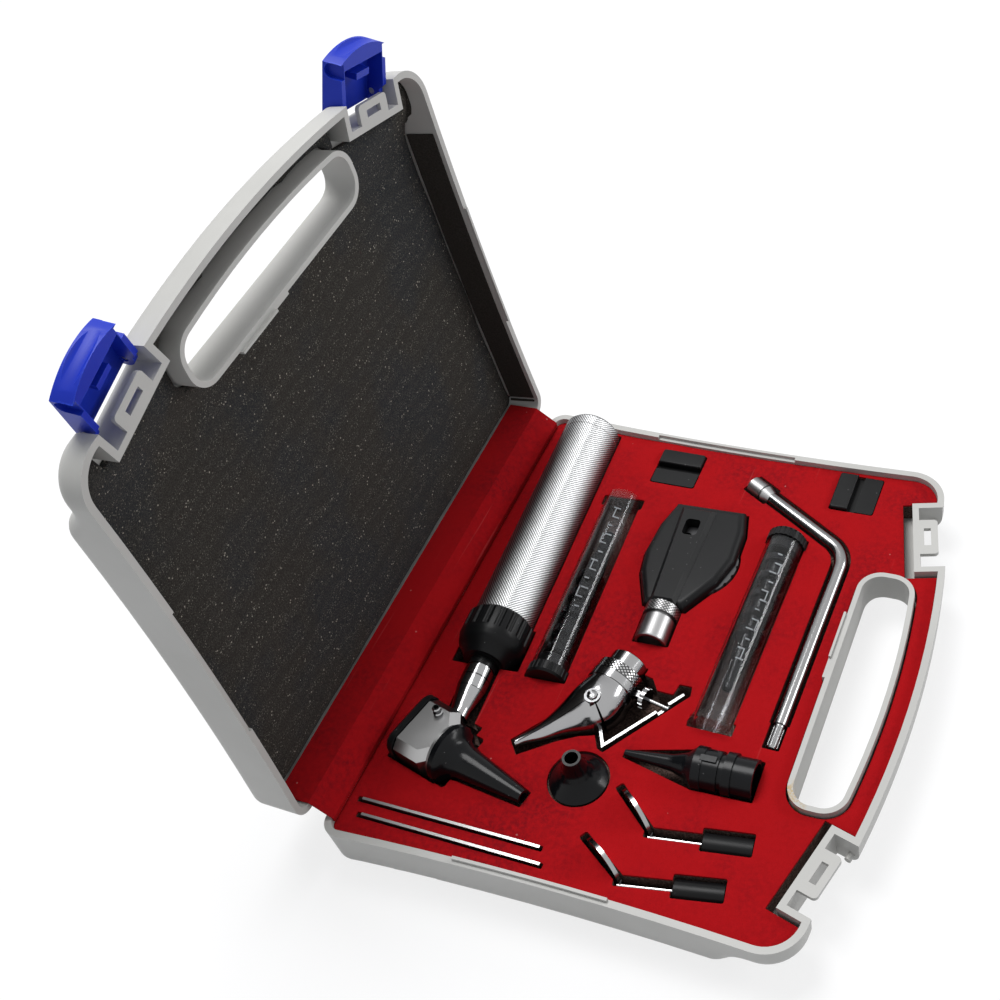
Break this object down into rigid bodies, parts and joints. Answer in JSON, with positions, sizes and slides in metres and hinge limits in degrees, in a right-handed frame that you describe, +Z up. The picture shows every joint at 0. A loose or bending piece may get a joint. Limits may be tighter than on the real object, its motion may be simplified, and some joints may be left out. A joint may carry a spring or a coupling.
{
  "type": "otoscope carry case",
  "caption": "Open moulded carry case with red fleece insert holding a knurled otoscope, viewing head, bent arm light, specula, tubes, mirrors and blades; swing latches and hinged lid.",
  "frame": {"origin": "on the underside of the base, midway between the hinge axis and a point 236 mm from it, on the plane that splits front from back", "axes": "+X from the hinge to the carrying handle, +Y towards the back side where the battery handle points, +Z up out of the open base"},
  "size_m": [0.2749, 0.2596, 0.2737],
  "materials": {
    "case_plastic": "grained moulded light grey plastic",
    "insert_foam": "open-cell brown-grey foam",
    "red_fleece": "red flocked cloth",
    "lid_foam": "dark grey flecked foam",
    "latch_plastic": "blue moulded plastic",
    "pin_steel": "steel wire",
    "knurled_metal": "fine diamond knurl, satin chrome",
    "cell_jacket": "battery jacket",
    "black_plastic": "black moulded plastic",
    "grey_plastic": "dark grey moulded plastic",
    "speculum_plastic": "black moulded plastic, soft gloss",
    "chrome": "polished chrome",
    "satin_metal": "satin metal",
    "lamp_glass": "bulb glass",
    "lens_glass": "clear lens",
    "clear_tube": "clear plastic",
    "mirror_glass": "silvered mirror"
  },
  "bodies": {
    "base": {"base_shell": "case_plastic", "foam_insert": "insert_foam", "fleece_cover": "red_fleece", "hinge_flap": "red_fleece", "hinge_pins": "pin_steel"},
    "lid": {"lid_shell": "case_plastic", "lid_foam": "lid_foam"},
    "latch_front": {"latch_front": "latch_plastic"},
    "latch_back": {"latch_back": "latch_plastic"},
    "otoscope": {"handle_tube": "knurled_metal", "handle_end_cap": "knurled_metal", "battery_cells": "cell_jacket", "battery_spring": "pin_steel", "handle_neck": "black_plastic", "otoscope_neck": "chrome", "otoscope_housing": "satin_metal", "insufflation_port": "chrome", "otoscope_lamp": "lamp_glass"},
    "rheostat_collar": {"rheostat_collar": "black_plastic"},
    "otoscope_window": {"window_frame": "black_plastic", "window_lens": "lens_glass"},
    "ear_speculum": {"ear_speculum": "speculum_plastic"},
    "tube_a": {"tube_a": "clear_tube", "tube_a_specula": "speculum_plastic"},
    "tube_a_cap": {"tube_a_cap": "black_plastic"},
    "tube_b": {"tube_b": "clear_tube", "tube_b_specula": "speculum_plastic"},
    "tube_b_cap": {"tube_b_cap": "black_plastic"},
    "ophthalmoscope": {"ophthalmoscope_housing": "black_plastic", "ophthalmoscope_socket": "satin_metal"},
    "lens_wheel": {"lens_wheel": "grey_plastic"},
    "bent_arm": {"arm_socket": "satin_metal", "arm_rod": "chrome", "arm_tip": "chrome"},
    "nasal_speculum": {"nasal_speculum_body": "chrome", "nasal_pivot_screw": "chrome"},
    "nasal_blade": {"nasal_speculum_blade": "chrome"},
    "nasal_thumb_screw": {"nasal_thumb_screw": "chrome"},
    "large_speculum": {"large_speculum": "speculum_plastic"},
    "adapter_speculum": {"adapter_speculum": "speculum_plastic"},
    "mirror_1": {"mirror_1_head": "chrome", "mirror_1_glass": "mirror_glass", "mirror_1_sleeve": "black_plastic"},
    "mirror_2": {"mirror_2_head": "chrome", "mirror_2_glass": "mirror_glass", "mirror_2_sleeve": "black_plastic"},
    "slim_blade_1": {"slim_blade_1": "satin_metal"},
    "slim_blade_2": {"slim_blade_2": "satin_metal"},
    "slotted_block_1": {"slotted_block_1": "black_plastic"},
    "slotted_block_2": {"slotted_block_2": "black_plastic"}
  },
  "joints": [
    {"name": "lid_hinge", "type": "hinge", "parent": "base", "child": "lid", "pos_m": [-0.118, 0, 0.027], "axis": [0, 1, 0], "range_deg": [0, 94], "deforming": ["hinge_flap"]},
    {"name": "latch_front_swing", "type": "hinge", "parent": "lid", "child": "latch_front", "pos_m": [-0.14337, -0.0911, 0.24651], "axis": [-0.0183, 0.965, 0.2616], "range_deg": [0, 75]},
    {"name": "latch_back_swing", "type": "hinge", "parent": "lid", "child": "latch_back", "pos_m": [-0.14337, 0.0911, 0.24651], "axis": [0.0183, 0.965, -0.2616], "range_deg": [0, 75]},
    {"name": "otoscope_lift", "type": "slide", "parent": "base", "child": "otoscope", "axis": [0, 0, 1], "range_m": [0, 0.06]},
    {"name": "rheostat_turn", "type": "hinge", "parent": "otoscope", "child": "rheostat_collar", "pos_m": [-0.0815, 0, 0.0258], "axis": [-0.0448, 0.999, 0], "range_deg": [0, 90]},
    {"name": "window_swing", "type": "hinge", "parent": "otoscope", "child": "otoscope_window", "pos_m": [-0.09538, -0.05964, 0.0302], "axis": [-0.9646, 0.2635, 0], "range_deg": [0, 90]},
    {"name": "ear_speculum_twist", "type": "hinge", "parent": "otoscope", "child": "ear_speculum", "pos_m": [-0.0987, -0.0718, 0.0258], "axis": [0.9646, -0.2635, 0], "range_deg": [0, 30]},
    {"name": "tube_a_lift", "type": "slide", "parent": "base", "child": "tube_a", "axis": [0, 0, 1], "range_m": [0, 0.06]},
    {"name": "tube_a_cap_turn", "type": "hinge", "parent": "tube_a", "child": "tube_a_cap", "pos_m": [-0.05075, 0.00235, 0.0225], "axis": [-0.0429, 0.9991, 0], "continuous": true},
    {"name": "tube_b_lift", "type": "slide", "parent": "base", "child": "tube_b", "axis": [0, 0, 1], "range_m": [0, 0.06]},
    {"name": "tube_b_cap_turn", "type": "hinge", "parent": "tube_b", "child": "tube_b_cap", "pos_m": [0.03427, 0.04413, 0.024], "axis": [-0.0122, -0.9999, 0], "continuous": true},
    {"name": "ophthalmoscope_lift", "type": "slide", "parent": "base", "child": "ophthalmoscope", "axis": [0, 0, 1], "range_m": [0, 0.06]},
    {"name": "lens_wheel_turn", "type": "hinge", "parent": "ophthalmoscope", "child": "lens_wheel", "pos_m": [-0.00578, 0.05214, 0.0236], "axis": [0, 0, 1], "continuous": true},
    {"name": "bent_arm_lift", "type": "slide", "parent": "base", "child": "bent_arm", "axis": [0, 0, 1], "range_m": [0, 0.06]},
    {"name": "nasal_speculum_lift", "type": "slide", "parent": "base", "child": "nasal_speculum", "axis": [0, 0, 1], "range_m": [0, 0.06]},
    {"name": "beak_open", "type": "hinge", "parent": "nasal_speculum", "child": "nasal_blade", "pos_m": [-0.01862, -0.03995, 0.0234], "axis": [0, 0, 1], "range_deg": [0, 5]},
    {"name": "thumb_screw_turn", "type": "hinge", "parent": "nasal_speculum", "child": "nasal_thumb_screw", "pos_m": [-0.00462, -0.02673, 0.0234], "axis": [0.9789, -0.2045, 0], "range_deg": [0, 360]},
    {"name": "large_speculum_lift", "type": "slide", "parent": "base", "child": "large_speculum", "axis": [0, 0, 1], "range_m": [0, 0.06]},
    {"name": "adapter_speculum_lift", "type": "slide", "parent": "base", "child": "adapter_speculum", "axis": [0, 0, 1], "range_m": [0, 0.06]},
    {"name": "mirror_1_lift", "type": "slide", "parent": "base", "child": "mirror_1", "axis": [0, 0, 1], "range_m": [0, 0.06]},
    {"name": "mirror_2_lift", "type": "slide", "parent": "base", "child": "mirror_2", "axis": [0, 0, 1], "range_m": [0, 0.06]},
    {"name": "slim_blade_1_lift", "type": "slide", "parent": "base", "child": "slim_blade_1", "axis": [0, 0, 1], "range_m": [0, 0.06]},
    {"name": "slim_blade_2_lift", "type": "slide", "parent": "base", "child": "slim_blade_2", "axis": [0, 0, 1], "range_m": [0, 0.06]},
    {"name": "slotted_block_1_lift", "type": "slide", "parent": "base", "child": "slotted_block_1", "axis": [0, 0, 1], "range_m": [0, 0.06]},
    {"name": "slotted_block_2_lift", "type": "slide", "parent": "base", "child": "slotted_block_2", "axis": [0, 0, 1], "range_m": [0, 0.06]}
  ],
  "couplings": [
    {"joint": "thumb_screw_turn", "follows": "beak_open", "ratio": 72}
  ]
}
